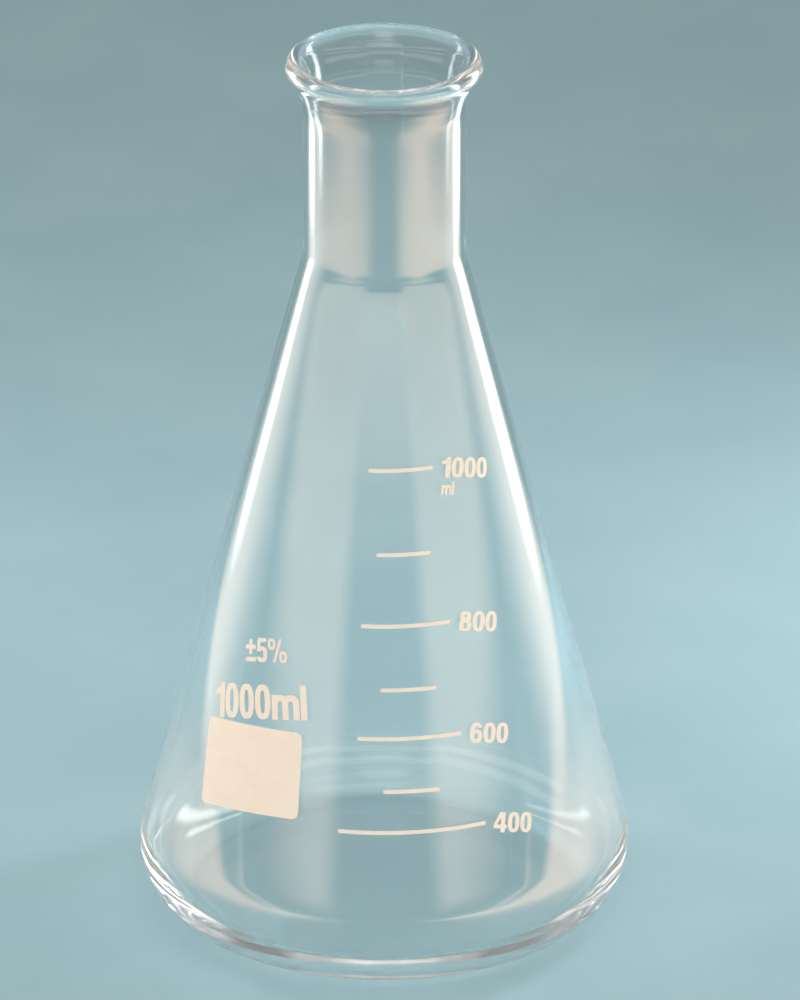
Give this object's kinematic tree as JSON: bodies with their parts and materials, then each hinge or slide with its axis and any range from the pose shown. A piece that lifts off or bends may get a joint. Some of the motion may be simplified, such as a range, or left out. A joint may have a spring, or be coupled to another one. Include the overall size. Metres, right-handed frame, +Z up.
{
  "type": "conical flask",
  "caption": "Narrow-neck conical laboratory flask of clear blown glass with a flared, rounded rim, for mixing and heating liquids, with a fired enamel volume scale and a plain marking spot.",
  "frame": {"origin": "on the flask's axis, in the plane of the foot ring that stands on the table", "axes": "+Z up along the flask's axis towards the mouth, -Y towards the printed scale, +X to the right of someone reading it"},
  "size_m": [0.126, 0.126, 0.2326],
  "materials": {
    "glass": "clear borosilicate, fire polished",
    "enamel": "fired cream-white enamel, slightly matt"
  },
  "bodies": {
    "root": {"glass_body": "glass", "graduation_400": "enamel", "graduation_500": "enamel", "graduation_600": "enamel", "graduation_700": "enamel", "graduation_800": "enamel", "graduation_900": "enamel", "graduation_1000": "enamel", "numeral_400": "enamel", "numeral_600": "enamel", "numeral_800": "enamel", "numeral_1000": "enamel", "unit_mark": "enamel", "marking_spot": "enamel", "capacity_mark": "enamel", "tolerance_mark": "enamel"}
  },
  "joints": []
}
